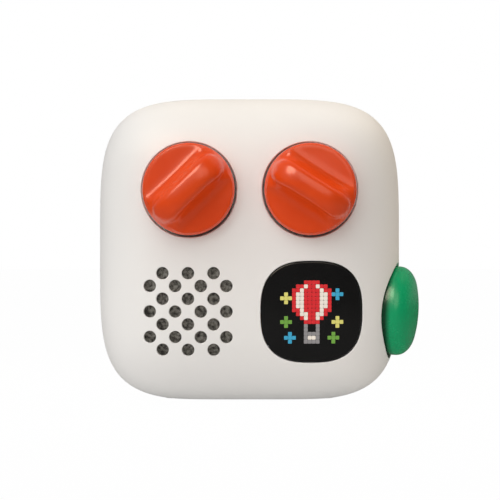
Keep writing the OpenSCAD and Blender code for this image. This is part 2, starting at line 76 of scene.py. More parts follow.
class Wire:
    """A socket of a material's nodes that can be used in sums."""

    def __init__(self, tree, socket=None):
        self.tree, self.socket = tree, socket

    def node(self, kind, settings=None, sockets=None, out=0):
        made = self.tree.nodes.new("ShaderNode" + kind)
        for name, value in (settings or {}).items():
            setattr(made, name, value)
        for name, value in (sockets or {}).items():
            if isinstance(value, Wire):
                self.tree.links.new(value.socket, made.inputs[name])
            else:
                made.inputs[name].default_value = value
        return Wire(self.tree, made.outputs[out])

    def sum(self, operation, first, second=0.0):
        return self.node("Math", {"operation": operation}, {0: first, 1: second})

    def __add__(self, other): return self.sum("ADD", self, other)
    def __radd__(self, other): return self.sum("ADD", other, self)
    def __sub__(self, other): return self.sum("SUBTRACT", self, other)
    def __rsub__(self, other): return self.sum("SUBTRACT", other, self)
    def __mul__(self, other): return self.sum("MULTIPLY", self, other)
    def __rmul__(self, other): return self.sum("MULTIPLY", other, self)
    def __gt__(self, other): return self.sum("GREATER_THAN", self, other)

    def place(self):
        """The point on the piece in millimetres."""
        here = self.node("TexCoord", out=3)
        return self.node("VectorMath", {"operation": "SCALE"}, {0: here, "Scale": 1000.0})

    def grain(self, size, detail=2.0, rough=0.5):
        """Cloudy noise with lumps of about that many millimetres."""
        return self.node("TexNoise", None, {"Vector": self.place(), "Scale": 1 / size,
                                            "Detail": detail, "Roughness": rough})

    def tint(self, factor, first, second):
        """A mix of two colours."""
        first, second = [end if isinstance(end, Wire) else (*end, 1) for end in (first, second)]
        return self.node("Mix", {"data_type": "RGBA"}, {0: factor, 6: first, 7: second}, 2)

    def relief(self, height, depth):
        """A normal from a height, depth in millimetres."""
        return self.node("Bump", None, {"Height": height, "Distance": depth / 1000,
                                        "Strength": 1.0})


def finish(name, paint=None, **fixed):
    """A material: fixed values on the shader's sockets, and paint(wire) for what varies."""
    made = bpy.data.materials.new(name)
    made.use_nodes = True
    shader = made.node_tree.nodes["Principled BSDF"]
    for socket, value in fixed.items():
        value = (*value, 1) if isinstance(value, tuple) and len(value) == 3 else value
        shader.inputs[socket.replace("_", " ")].default_value = value
    for socket, value in (paint(Wire(made.node_tree)) if paint else {}).items():
        made.node_tree.links.new(value.socket, shader.inputs[socket])
    return made


def casing_paint(wire):
    fine = wire.grain(0.32, 3.0, 0.6)
    cloud = wire.grain(9.0, 3.0)
    colour = wire.tint(cloud, [c * 0.985 for c in casing_tint], [c * 1.012 for c in casing_tint])
    return {"Base Color": colour,
            "Roughness": 0.47 + cloud * 0.08 + fine * 0.05,
            "Normal": wire.relief(fine, 0.014)}


casing_plastic = finish("casing_plastic", casing_paint, Specular_IOR_Level=0.42)


class Moulding:
    """Points with their own normals, and faces between them, in millimetres."""

    def __init__(self):
        self.points, self.normals, self.faces, self.count = [], [], [], 0

    def add(self, points, normals):
        points, normals = np.array(points, float), np.array(normals, float)
        self.points.append(points)
        self.normals.append(normals / np.linalg.norm(normals, axis=1)[:, None])
        self.count += len(points)
        return np.arange(self.count - len(points), self.count)

    def at(self, index):
        return np.concatenate(self.points)[index]

    def band(self, first, second):
        """Quads between two closed loops of as many points."""
        a, b = np.roll(first, -1), np.roll(second, -1)
        self.faces += np.stack([first, a, b, second], 1).tolist()

    def strip(self, *rings):
        """Rings of (points, normals), each joined to the next."""
        loops = [self.add(p, n) for p, n in rings]
        for first, second in zip(loops, loops[1:]):
            self.band(first, second)
        return loops

    def lid(self, ring, centre, way):
        """A flat cap over a ring of points."""
        edge = self.add(ring, [way] * len(ring))
        hub = self.add([centre], [way])[0]
        self.faces += [[a, b, hub] for a, b in zip(edge, np.roll(edge, -1))]

    def piece(self, name, *materials, body, slot, stands_for=(), pick=None):
        points, normals = np.concatenate(self.points), np.concatenate(self.normals)
        faces = []
        for face in self.faces:
            corner = points[face]
            lean = np.cross(corner[1] - corner[0], corner[2] - corner[0])
            if len(face) == 4:
                lean = lean + np.cross(corner[2] - corner[0], corner[3] - corner[0])
            faces.append(face if lean @ normals[face].sum(0) >= 0 else face[::-1])
        mesh = bpy.data.meshes.new(name)
        mesh.from_pydata((points / 1000).tolist(), [], faces)
        mesh.polygons.foreach_set("use_smooth", [True] * len(faces))
        mesh.normals_split_custom_set_from_vertices(normals.tolist())
        made = bpy.data.objects.new(name, mesh)
        bpy.context.collection.objects.link(made)
        for material in materials:
            mesh.materials.append(material)
        if pick is not None:
            mesh.polygons.foreach_set("material_index", pick)
        return settle(made, body, slot, *stands_for)


def settle(made, body, slot, *nodes):
    """Ties a piece to its body and hides the nodes that it stands for; the slot is not used."""
    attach(made, body)
    if nodes:
        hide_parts(*nodes)
    return made


class Surface:
    """One face of a casing half, which a flat chart can be laid over."""

    def __init__(self, power, side, inset, joint):
        self.power, self.side, self.inset = power, side, inset
        self.a, self.deep = half_width - inset, half_depth - inset
        spread = np.linspace(0, 1, 4001)
        self.turn = math.pi / 2 * np.sin(spread * math.pi / 2) ** 2
        k = np.sin(self.turn) ** (2 / power)
        y = self.deep * np.cos(self.turn) ** (2 / power)
        self.run = np.r_[0, np.cumsum(np.hypot(np.diff(k) * self.a, np.diff(y)))]
        if side < 0:
            self.end = self.run[-1] + joint
        else:
            self.end = np.interp(joint, y[::-1], self.run[::-1])

    def tall(self, z):
        return np.where(z < 0, half_under, half_height) - self.inset

    def level(self, p):
        """Below 1 inside the surface, above 1 outside it."""
        s = (np.abs(p[:, 0] / self.a) ** corner_power
             + np.abs(p[:, 2] / self.tall(p[:, 2])) ** corner_power)
        y = np.maximum(self.side * p[:, 1], 0) / self.deep
        return s ** (self.power / corner_power) + y ** self.power

    def sides(self, p):
        """The surface's outward normal at points on it."""
        x, z, tall = p[:, 0] / self.a, p[:, 2] / self.tall(p[:, 2]), self.tall(p[:, 2])
        s = np.maximum(np.abs(x) ** corner_power + np.abs(z) ** corner_power, 1e-9)
        common = s ** (self.power / corner_power - 1)
        forward = np.maximum(self.side * p[:, 1] / self.deep, 0)
        n = np.stack([common * bent(x, corner_power - 1) / self.a,
                      self.side * forward ** (self.power - 1) / self.deep,
                      common * bent(z, corner_power - 1) / tall], 1)
        return n / np.linalg.norm(n, axis=1)[:, None]

    def flatten(self, points, normals):
        """Rolls the underside into the flat base."""
        soft, limit = 0.07, -base_level - min(self.inset, 0.3)
        over = (limit + points[:, 2]) / soft
        points, normals = points.copy(), normals.copy()
        points[:, 2] = -limit + soft * np.logaddexp(0, over)
        normals[:, 2] *= 1 + np.exp(-np.maximum(over, -30))
        return points, normals / np.linalg.norm(normals, axis=1)[:, None]

    def lay(self, q):
        """Chart places to points and normals."""
        far = (np.abs(q) ** corner_power).sum(1) ** (1 / corner_power)
        way = q / np.maximum(far, 1e-9)[:, None]
        turn = np.interp(far, self.run, self.turn)
        k = np.sin(turn) ** (2 / self.power)
        y = self.deep * np.cos(turn) ** (2 / self.power) - np.maximum(far - self.run[-1], 0)
        p = np.stack([self.a * k * way[:, 0], self.side * y, self.tall(way[:, 1]) * k * way[:, 1]], 1)
        return self.flatten(p, self.sides(p))

    def chart(self, p):
        """Points on the surface to chart places."""
        x, z = p[:, 0] / self.a, p[:, 2] / self.tall(p[:, 2])
        k = (np.abs(x) ** corner_power + np.abs(z) ** corner_power) ** (1 / corner_power)
        y = self.side * p[:, 1] / self.deep
        turn = np.arctan2(k ** (self.power / 2), np.maximum(y, 0) ** (self.power / 2))
        far = np.interp(turn, self.turn, self.run) + np.maximum(-y * self.deep, 0)
        return np.stack([x, z], 1) / k[:, None] * far[:, None]

    def meet(self, starts, way):
        """Where lines from inside points leave the surface."""
        low, high = np.zeros(len(starts)), np.full(len(starts), 60.0)
        for _ in range(46):
            t = (low + high) / 2
            out = self.level(starts + t[:, None] * way) > 1
            low, high = np.where(out, low, t), np.where(out, t, high)
        return starts + low[:, None] * way

    def rim(self, y, inset, ways):
        """A ring round the half at depth y, moved in by inset."""
        k = (1 - (max(self.side * y, 0) / self.deep) ** self.power) ** (1 / self.power)
        a, tall = self.a * k - inset, self.tall(ways[:, 1]) * k - inset
        p = np.stack([a * ways[:, 0], np.full(len(ways), float(y)), tall * ways[:, 1]], 1)
        n = self.sides(p)
        n[:, 1] = 0
        return self.flatten(p, n / np.linalg.norm(n, axis=1)[:, None])


def outline_ways(count):
    """Even steps round the outline, as points of its unit shape."""
    a = np.linspace(0, 2 * math.pi, 40001)
    u = np.stack([bent(np.cos(a), 2 / corner_power), bent(np.sin(a), 2 / corner_power)], 1)
    run = np.r_[0, np.cumsum(np.hypot(*np.diff(u, axis=0).T))]
    at = np.linspace(0, run[-1], count, endpoint=False)
    return np.stack([np.interp(at, run, u[:, 0]), np.interp(at, run, u[:, 1])], 1)


def within(q, loop):
    """Which chart places lie inside a closed loop."""
    a, b = loop, np.roll(loop, -1, 0)
    x, y = q[:, 0][:, None], q[:, 1][:, None]
    cross = (a[:, 1] > y) != (b[:, 1] > y)
    with np.errstate(divide="ignore", invalid="ignore"):
        at = a[:, 0] + (y - a[:, 1]) / (b[:, 1] - a[:, 1]) * (b[:, 0] - a[:, 0])
    return (cross & (x < at)).sum(1) % 2 == 1


def cover(moulding, surface, loops, inward=False, step=0.95):
    """Lays a skin over the surface, with openings at the loops. Returns its edge ring."""
    sign, columns, core = -1 if inward else 1, outline_steps, 22.0
    ways = outline_ways(columns)
    runs = np.linspace(core, surface.end, round((surface.end - core) / step) + 1)
    grid = runs[:, None, None] * ways[None]
    holes = [surface.chart(moulding.at(loop)) for loop in loops]
    taken = np.zeros(grid.shape[:2], bool)
    for hole in holes:
        near = ((grid > hole.min(0) - 1) & (grid < hole.max(0) + 1)).all(2)
        q = grid[near]
        if len(q):
            gap = np.linalg.norm(q[:, None] - hole[None], axis=2).min(1)
            taken[near] |= (gap < 0.6) | within(q, hole)
    index = np.full(taken.shape, -1)
    p, n = surface.lay(grid[~taken])
    index[~taken] = moulding.add(p, sign * n)
    free = ~taken
    ok = free[:-1] & free[1:] & np.roll(free, -1, 1)[:-1] & np.roll(free, -1, 1)[1:]
    for i, j in zip(*np.nonzero(ok)):
        e = (j + 1) % columns
        moulding.faces.append([index[i, j], index[i, e], index[i + 1, e], index[i + 1, j]])
    flat, owner, seen, edges = [], [], {}, []

    def spot(q, at):
        if at not in seen:
            seen[at] = len(flat)
            flat.append(q)
            owner.append(at)
        return seen[at]

    for i, j in zip(*np.nonzero(~ok)):
        e = (j + 1) % columns
        rim = [((i, j), (i, e), i > 0 and ok[i - 1, j]),
               ((i + 1, j), (i + 1, e), i + 1 == len(runs) - 1 or ok[i + 1, j]),
               ((i, j), (i + 1, j), ok[i, j - 1]), ((i, e), (i + 1, e), ok[i, e])]
        for a, b, closed in rim:
            for c in (a, b):
                if free[c]:
                    spot(grid[c], index[c])
            if closed:
                edges.append((seen[index[a]], seen[index[b]]))
    for j in range(columns):
        if free[0, j]:
            spot(grid[0, j], index[0, j])
        if ok[0, j]:
            e = (j + 1) % columns
            edges.append((spot(grid[0, j], index[0, j]), spot(grid[0, e], index[0, e])))
    for loop, hole in zip(loops, holes):
        spots = [spot(q, at) for q, at in zip(hole, loop)]
        edges += list(zip(spots, spots[1:] + spots[:1]))
    gap, rows = 1.15, []
    for r in np.arange(-surface.end, surface.end, gap * 0.866):
        rows.append(np.stack([np.arange(-surface.end, surface.end, gap)
                              + (round(r / gap / 0.866) % 2) * gap / 2 + 0.03,
                              np.full(len(np.arange(-surface.end, surface.end, gap)), r + 0.02)], 1))
    seeds = np.concatenate(rows)
    angles = np.arctan2(ways[:, 1], ways[:, 0])
    order = np.argsort(angles)

    def open_area(q):
        far = (np.abs(q) ** corner_power).sum(1) ** (1 / corner_power)
        i = np.searchsorted(runs, far) - 1
        j = order[(np.searchsorted(angles[order], np.arctan2(q[:, 1], q[:, 0])) - 1) % columns]
        inside = (i < len(runs) - 1)
        inside[inside & (i >= 0)] &= ~ok[i[inside & (i >= 0)], j[inside & (i >= 0)]]
        for hole in holes:
            near = ((q > hole.min(0)) & (q < hole.max(0))).all(1) & inside
            inside[near] &= ~within(q[near], hole)
        return inside

    seeds = seeds[open_area(seeds)]
    known = np.array(flat)
    for part in range(0, len(seeds), 400):
        q = seeds[part:part + 400]
        clear = np.linalg.norm(q[:, None] - known[None], axis=2).min(1) > 0.62
        if clear.any():
            p, n = surface.lay(q[clear])
            for at, place in zip(moulding.add(p, sign * n), q[clear]):
                spot(place, int(at))
    out = delaunay_2d_cdt([Vector(q) for q in flat], edges, [], 0, 1e-7)
    corners = np.array([tuple(v) for v in out[0]])
    kept = open_area(corners[np.array(out[2])].mean(1))
    for face, keep in zip(out[2], kept):
        if keep:
            moulding.faces.append([owner[out[3][c][0]] for c in face])
    return index[-1]


def circle(radius, count, at=(0, 0)):
    """A round opening: places and outward ways, grown by an offset."""
    a = np.linspace(0, 2 * math.pi, count, endpoint=False)
    way = np.stack([np.cos(a), np.sin(a)], 1)
    return lambda more: (np.array(at) + (radius + more) * way, way)


def rounded_square(half, power, count):
    """A square opening whose roundness is a power."""
    a = np.linspace(0, 2 * math.pi, 8001)
    u = half * np.stack([bent(np.cos(a), 2 / power), bent(np.sin(a), 2 / power)], 1)
    run = np.r_[0, np.cumsum(np.hypot(*np.diff(u, axis=0).T))]
    at = np.linspace(0, run[-1], count, endpoint=False)
    u = np.stack([np.interp(at, run, u[:, 0]), np.interp(at, run, u[:, 1])], 1)
    way = bent(u / half, power - 1)
    way /= np.linalg.norm(way, axis=1)[:, None]
    return lambda more: (u + more * way, way)


def long_slot(half_length, radius, count):
    """A slot with round ends along its first direction."""
    bend = np.linspace(-math.pi / 2, math.pi / 2, count // 2)
    ends = np.stack([np.cos(bend), np.sin(bend)], 1)
    straight = np.linspace(half_length, -half_length, 26)[1:-1]
    hub = np.concatenate([np.tile([half_length, 0], (len(ends), 1)), np.stack([straight, 0 * straight], 1),
                          np.tile([-half_length, 0], (len(ends), 1)), np.stack([-straight, 0 * straight], 1)])
    way = np.concatenate([ends, np.tile([0, 1], (len(straight), 1)), -ends,
                          np.tile([0, -1], (len(straight), 1))])
    return lambda more: (hub + (radius + more) * way, way)


def upright(flat, depth=0.0):
    """Places across and up, stood upright at a depth."""
    return np.stack([flat[:, 0], np.full(len(flat), float(depth)), flat[:, 1]], 1)


class Opening:
    """An opening cut along a way out of the casing, with a rounded edge."""

    def __init__(self, start, across, up, way, shape, edge, floor=None, bore=0.0, boss=0.0, behind=0.0):
        self.start, self.way = np.array(start, float), np.array(way, float)
        self.axes = np.array([across, up], float)
        self.shape, self.edge, self.floor = shape, edge, floor
        self.bore, self.boss, self.behind = bore, boss, behind

    def ring(self, surface, more, deep=0.0, lean=90.0):
        flat, out = self.shape(more)
        p = surface.meet(self.start + flat @ self.axes, self.way)
        n = surface.sides(p) * math.cos(math.radians(lean)) - out @ self.axes * math.sin(math.radians(lean))
        return p - deep * self.way, n

    def at_floor(self, more, depth):
        """The opening's shape on a flat floor across Y."""
        p = self.start + self.shape(more)[0] @ self.axes
        p[:, 1] = depth
        return p


def casing_half(power, side, joint, openings, bosses):
    """One shell: its outer and inner skins, its openings, its edge at the seam and its bosses."""
    outer, inner = Surface(power, side, 0.0, joint), Surface(power, side, wall, joint)
    shell = Moulding()
    outer_loops, inner_loops = [], []
    for o in openings:
        edge = [o.ring(outer, o.edge * (1 - math.sin(math.radians(a))),
                       o.edge * (1 - math.cos(math.radians(a))), a) for a in (0, 22, 45, 68, 90)]
        loops = shell.strip(*edge)
        outer_loops.append(loops[0])
        out = o.shape(0)[1] @ o.axes
        if o.floor is None:
            p, _ = o.ring(inner, 0)
            shell.band(loops[-1], shell.add(p, -out))
            inner_loops.append(shell.add(p, -inner.sides(p)))
            continue
        # a pocket: wall, floor with a bore through it, and the boss behind
        p = o.at_floor(0, o.floor)
        shell.band(loops[-1], shell.add(p, -out))
        bore = circle(o.bore, len(p))(0)[0] @ o.axes
        hole = o.start + bore
        front, back = hole.copy(), hole.copy()
        front[:, 1], back[:, 1] = o.floor, o.behind
        shell.strip((p, [(0, side, 0)] * len(p)), (front, [(0, side, 0)] * len(p)))
        shell.strip((front, -bore), (back, -bore))
        wide = circle(o.boss, len(p))(0)[0] @ o.axes
        boss = o.start + wide
        boss[:, 1] = o.behind
        shell.strip((back, [(0, -side, 0)] * len(p)), (boss, [(0, -side, 0)] * len(p)))
        root = boss.copy()
        if side < 0:
            root = inner.meet(o.start + wide, o.way)
            inner_loops.append(shell.add(root, -inner.sides(root)))
        else:
            root[:, 1] = o.floor - 1
        shell.strip((boss, wide), (root, wide))
    ways = outline_ways(outline_steps)
    last = cover(shell, outer, outer_loops)
    soft = 0.22
    rounds = []
    for a in (30, 60, 90):
        p, n = outer.rim(joint, soft * (1 - math.cos(math.radians(a))), ways)
        p[:, 1] = joint + side * (soft - soft * math.sin(math.radians(a)))
        n = n * math.cos(math.radians(a))
        n[:, 1] = -side * math.sin(math.radians(a))
        rounds.append(shell.add(p, n))
    shell.band(last, rounds[0])
    for a, b in zip(rounds, rounds[1:]):
        shell.band(a, b)
    cover(shell, inner, inner_loops, inward=True, step=1.6)
    face = [(0, -side, 0)] * outline_steps
    if side < 0:
        # the groove round the front half's edge
        shell.strip((shell.at(rounds[-1]), face), (outer.rim(joint, 1.0, ways)[0], face))
        p, n = outer.rim(joint, 1.0, ways)
        deep = p - (0, 1.9, 0)
        shell.strip((p, -n), (deep, -n))
        shell.strip((deep, face), (outer.rim(joint - 1.9, 1.98, ways)[0], face))
    else:
        # the lip that goes into it
        shell.strip((shell.at(rounds[-1]), face), (outer.rim(joint, 1.15, ways)[0], face))
        for inset, flip in ((1.15, 1), (2.35, -1)):
            p, n = outer.rim(joint, inset, ways)
            shell.strip((p, flip * n), (p - (0, 2.0, 0), flip * n))
        tip = outer.rim(joint, 1.15, ways)[0] - (0, 2.0, 0), outer.rim(joint, 2.35, ways)[0] - (0, 2.0, 0)
        shell.strip((tip[0], face), (tip[1], face))
    for x, z, radius, bore, near, far in bosses:
        wide, thin = circle(radius, 40, (x, z))(0), circle(bore, 40, (x, z))(0)
        for (flat, way), sign in ((wide, 1), (thin, -1)):
            shell.strip((upright(flat, near), sign * upright(way)), (upright(flat, far), sign * upright(way)))
        end = [(0, -side, 0)] * len(wide[0])
        shell.strip((upright(wide[0], far), end), (upright(thin[0], far), end))
    for part in shell.points:
        part[:, 2] += middle
    return shell


knob_across, knob_up, knob_radius = 13.55, 13.25, 10.25
grille_at, hole_pitch, hole_radius = (-13.73, -14.05), 2.86, 1.39
window_at, window_half, window_power = (13.9, -14.15), 11.45, 2.7
button_at, button_radius, button_gap = np.array([34.37, -13.9, -14.33]), 10.25, 0.75
slot_at, slot_run, slot_radius = -2.1, 25.7, 2.3
button_yaw, button_dip = math.radians(12.5), math.radians(2.8)
button_out = np.array([math.cos(button_dip) * math.cos(button_yaw),
                       -math.cos(button_dip) * math.sin(button_yaw), -math.sin(button_dip)])
button_rear = np.array([math.sin(button_yaw), math.cos(button_yaw), 0])
button_down = np.cross(button_rear, button_out)

front_openings = []
for s in (-1, 1):
    front_openings.append(Opening((s * knob_across, 0, knob_up), to_right, upward, to_front,
                                  circle(knob_radius + 0.45, 96), 0.3, floor=-27.6, bore=3.65, boss=12.4,
                                  behind=-25.6))
for row in range(-3, 4):
    count = 4 if row % 2 == 0 else 3
    for i in range(count):
        spot = (grille_at[0] + (2 * i - count + 1) * hole_pitch, 0, grille_at[1] + row * hole_pitch)
        front_openings.append(Opening(spot, to_right, upward, to_front, circle(hole_radius, 32), 0.16))
front_openings.append(Opening((window_at[0], 0, window_at[1]), to_right, upward, to_front,
                              rounded_square(window_half, window_power, 128), 0.22))
front_openings.append(Opening((0, slot_at, 0), to_right, to_rear, upward,
                              long_slot(slot_run, slot_radius, 32), 0.35))
front_openings.append(Opening(button_at - 12 * button_out, button_down, button_rear, button_out,
                              circle(button_radius + button_gap, 112), 0.3))
casing_half(front_power, -1, front_joint, front_openings,
            [(sx * screw_at, sz * screw_at, 4.2, 1.1, 1.6, 7.6) for sx in (-1, 1) for sz in (-1, 1)]
            ).piece("casing_front", casing_plastic, body="casing", slot="casing", stands_for=["front_shell"])

rear_openings = []
for sx in (-1, 1):
    for sz in (-1, 1):
        rear_openings.append(Opening((sx * screw_at, 0, sz * screw_at), to_right, upward, to_rear,
                                     circle(2.6, 48), 0.3, floor=15.0, bore=1.45, boss=3.9, behind=8.7))
headphone_at, charging_at = (-9, 0, -24.4), (9, 0, -25.3)
rear_openings.append(Opening(headphone_at, to_right, upward, to_rear, circle(3.15, 48), 0.3))
rear_openings.append(Opening(charging_at, to_right, upward, to_rear, long_slot(3.05, 1.95, 24), 0.3))
casing_half(rear_power, 1, rear_joint, rear_openings, []
            ).piece("casing_rear", casing_plastic, body="casing", slot="casing", stands_for=["rear_shell"])

# ---- Feet and case screws ----
# Four soft pale grey rubber discs glued into shallow recesses in the base, and four turned steel
# cross-head screws sunk in counterbores in the rear half.


def rubber_paint(wire, tone=(0.034, 0.034, 0.036)):
    fine = wire.grain(0.25, 3.0, 0.65)
    return {"Base Color": wire.tint(fine, [c * 0.8 for c in tone], tone),
            "Roughness": 0.78 + fine * 0.14,
            "Normal": wire.relief(fine, 0.02)}


foot_rubber = finish("foot_rubber", lambda wire: rubber_paint(wire, (0.52, 0.50, 0.47)))


def steel_paint(wire):
    marks = wire.grain(0.6, 4.0, 0.7)
    return {"Base Color": wire.tint(marks, (0.50, 0.50, 0.51), (0.62, 0.62, 0.63)),
            "Roughness": 0.22 + marks * 0.16,
            "Normal": wire.relief(marks, 0.006)}


screw_steel = finish("screw_steel", steel_paint, Metallic=1.0)


def turned(moulding, origin, axis, side, profile, count, sharp=32):
    """Turns a profile of (radius, height) round an axis; corners over the sharp angle stay crisp."""
    axis, side = np.array(axis, float), np.array(side, float)
    third = np.cross(axis, side)
    a = np.linspace(0, 2 * math.pi, count, endpoint=False)
    spoke = np.cos(a)[:, None] * side + np.sin(a)[:, None] * third
    profile = np.array(profile, float)
    lean = []
    for p, q in zip(profile, profile[1:]):
        d = (q - p) / np.linalg.norm(q - p)
        lean.append(np.array([d[1], -d[0]]))

    def ring(at, n):
        return (np.array(origin) + at[0] * spoke + at[1] * axis, n[0] * spoke + n[1] * axis + 1e-9 * axis)
    before = None
    for i, (p, q) in enumerate(zip(profile, profile[1:])):
        def joined(j):
            return 0 <= j < len(lean) and lean[i] @ lean[j] > math.cos(math.radians(sharp))
        start = lean[i] + lean[i - 1] if joined(i - 1) and i else lean[i]
        stop = lean[i] + lean[i + 1] if joined(i + 1) else lean[i]
        if before is None or not joined(i - 1):
            before = moulding.add(*ring(p, start))
        after = moulding.add(*ring(q, stop))
        moulding.band(before, after)
        before = after


def arc(centre, radii, first, last, count):
    """Points of part of an ellipse, in degrees."""
    return [(centre[0] + radii[0] * math.cos(a), centre[1] + radii[1] * math.sin(a))
            for a in map(math.radians, np.linspace(first, last, count))]


feet = Moulding()
for x in (-17, 17):
    for y in (-4, 15):
        turned(feet, (x, y, 0), upward, to_right,
               [(0.001, 0.0)] + arc((2.5, 0.4), (0.68, 0.4), -90, 0, 7) + [(3.18, 1.0), (0.001, 1.0)], 48)
feet.piece("foot_pads", foot_rubber, body="casing", slot="feet", stands_for=["base_feet"])

screws = Moulding()
for sx in (-1, 1):
    for sz in (-1, 1):
        hub = (sx * screw_at, 0, middle + sz * screw_at)
        turned(screws, hub, to_rear, upward,
               [(1.05, 3.6), (1.05, 15.03), (2.18, 15.03), (2.29, 15.14), (2.29, 16.3)]
               + arc((1.9, 16.3), (0.39, 0.42), 0, 90, 6)[1:] + [(1.3, 16.84)], 48)
        # the cross recess is a star-shaped well in the head
        a = np.linspace(0, 2 * math.pi, 48, endpoint=False)
        arm = np.minimum(1.22, 0.27 / np.maximum(np.minimum(abs(np.cos(a)), abs(np.sin(a))), 1e-3))
        rims = [np.stack([hub[0] + r * np.cos(a), np.full(48, y), hub[2] + r * np.sin(a)], 1)
                for r, y in ((np.full(48, 1.3), 16.84), (arm, 16.84), (arm * 0.86, 15.9))]
        screws.strip((rims[0], [to_rear] * 48), (rims[1], [to_rear] * 48))
        inward = np.stack([-np.cos(a), np.full(48, 0.3), -np.sin(a)], 1)
        screws.strip((rims[1], inward), (rims[2], inward))
        screws.lid(rims[2], (hub[0], 15.9, hub[2]), to_rear)
screws.piece("case_screw_set", screw_steel, body="casing", slot="steel", stands_for=["case_screws"])

# ---- Knobs ----
# Two glossy orange mouldings: a domed disc that sits in its pocket, with a pinched bar across
# it to hold. Each is pushed on the D-shaped shaft of an encoder and turns and clicks with it.
disc_back, disc_front, bar_root, bar_tip = 28.3, 32.8, 34.2, 40.5    # in front of the middle


def orange_paint(wire):
    cloud = wire.grain(6.0, 3.0)
    fine = wire.grain(0.5, 2.0)
    return {"Base Color": wire.tint(cloud, (0.710, 0.054, 0.004), (0.780, 0.070, 0.006)),
            "Roughness": 0.21 + cloud * 0.06 + fine * 0.02,
            "Normal": wire.relief(cloud + fine * 0.15, 0.02)}


knob_orange = finish("knob_orange", orange_paint, Specular_IOR_Level=0.42)


def soft_least(a, b, k):
    h = np.maximum(k - np.abs(a - b), 0) / k
    return np.minimum(a, b) - h * h * k / 4


def soft_most(a, b, k):
    return -soft_least(-a, -b, k)


def knob_form(x, y, z):
    """Negative inside the knob; x runs along its bar and z outward."""
    r = np.hypot(x, y)
    dome = 0.45 * np.maximum(1 - (r / knob_radius) ** 2, 0) ** 2
    disc = np.hypot(np.maximum(r - 9.05, 0), np.maximum(z - dome - disc_front, 0)) - 1.2
    disc = soft_most(disc, disc_back - z, 0.3)
    height = z - bar_root
    lift = np.maximum(height, 0)
    pinch = 1 + (0.09 - 0.005 * lift) * lift
    core = np.hypot(np.maximum(np.abs(x) - 5.76, 0), y * pinch) - 3.95 + 0.08 * lift
    core = soft_most(core, z + 0.095 * y ** 2 + 0.004 * x ** 2 + 0.0005 * x ** 4 - bar_tip, 1.5)
    hollow = 4.5 - np.hypot(np.minimum(np.abs(y) - 6.75, 0), np.minimum(z - bar_tip, 0) / 6.6 * 4.5)
    flare = soft_most(np.maximum(hollow, r - 9.75), height - 3.4 + 0.62 * np.maximum(np.abs(x) - 4, 0), 0.8)
    grip = soft_most(soft_least(core, flare, 1.0), 30.0 - z, 0.2)
    whole = soft_least(disc, grip, 0.45)
    bore = np.maximum(r - 5.6, z - 31.2)
    shaft = np.maximum(r - 3.02, z - 35.6)
    return np.maximum(whole, -np.minimum(bore, shaft))


def cast(form, low, high, cell):
    """A smooth skin of quads round a form, with its points and normals."""
    axes = [np.arange(a, b + cell, cell) for a, b in zip(low, high)]
    value = form(*np.meshgrid(*axes, indexing="ij"))
    size = tuple(n - 1 for n in value.shape)
    total, hits = np.zeros(size + (3,)), np.zeros(size)
    crossed = []
    for way in range(3):
        step = [slice(None)] * 3
        step[way] = slice(1, None)
        base = [slice(None)] * 3
        base[way] = slice(None, -1)
        a, b = value[tuple(base)], value[tuple(step)]
        cut = (a < 0) != (b < 0)
        where = np.argwhere(cut)
        part = (a[cut] / (a[cut] - b[cut]))[:, None] * np.eye(3)[way]
        p = where + part
        crossed.append((way, where))
        others = [k for k in range(3) if k != way]
        for da in (0, 1):
            for db in (0, 1):
                cell_at = where.copy()
                cell_at[:, others[0]] -= da
                cell_at[:, others[1]] -= db
                np.add.at(total, tuple(cell_at.T), p)
                np.add.at(hits, tuple(cell_at.T), 1)
    used = hits > 0
    index = np.full(size, -1)
    index[used] = np.arange(used.sum())
    points = total[used] / hits[used][:, None] * cell + np.array([a[0] for a in axes])
    quads = []
    for way, where in crossed:
        others = [k for k in range(3) if k != way]
        ring = []
        for da, db in ((0, 0), (1, 0), (1, 1), (0, 1)):
            cell_at = where.copy()
            cell_at[:, others[0]] -= da
            cell_at[:, others[1]] -= db
            ring.append(index[tuple(cell_at.T)])
        quads.append(np.stack(ring, 1))

    def rise(p, h=0.004):
        return np.stack([(form(*(p + h * np.eye(3)[k]).T) - form(*(p - h * np.eye(3)[k]).T)) / (2 * h)
                         for k in range(3)], 1)
    for _ in range(4):
        g = rise(points)
        points = points - np.clip(form(*points.T) / np.maximum((g * g).sum(1), 0.05), -0.1, 0.1)[:, None] * g
    return points, rise(points, 0.02), np.concatenate(quads).tolist()


knob_skin = cast(knob_form, (-10.9, -10.9, 27.7), (10.9, 10.9, 41.1), 0.30)
for hand, s, turn in (("left", -1, 44), ("right", 1, -32)):
    c, n = math.cos(math.radians(turn)), math.sin(math.radians(turn))
    to_world = np.array([[c, -n, 0], [0, 0, -1], [n, c, 0]])
    knob = Moulding()
    knob.add(knob_skin[0] @ to_world.T + (s * knob_across, 0, middle + knob_up), knob_skin[1] @ to_world.T)
    knob.faces = [list(quad) for quad in knob_skin[2]]
    knob.piece(hand + "_knob_cap", knob_orange, body=hand + "_dial", slot="knob", stands_for=[hand + "_knob"])

shaft_steel = finish("shaft_steel", steel_paint, Metallic=1.0)


def encoder_paint(wire):
    fine = wire.grain(0.4, 3.0)
    return {"Base Color": wire.tint(fine, (0.13, 0.165, 0.15), (0.17, 0.21, 0.19)),
            "Roughness": 0.5 + fine * 0.12, "Normal": wire.relief(fine, 0.008)}


def dress(material, slot, *nodes):
    """Gives CAD nodes a material; the slot is not used."""
    for node in nodes:
        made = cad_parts[node]
        for spot in made.material_slots:
            spot.link = "OBJECT"
            spot.material = material


encoder_housing = finish("encoder_housing", encoder_paint)
dress(shaft_steel, "steel", "left_shaft", "right_shaft", "left_push_collar", "right_push_collar",
      "bushing_nuts", "board_screws")
dress(encoder_housing, "encoder", "left_encoder", "right_encoder")

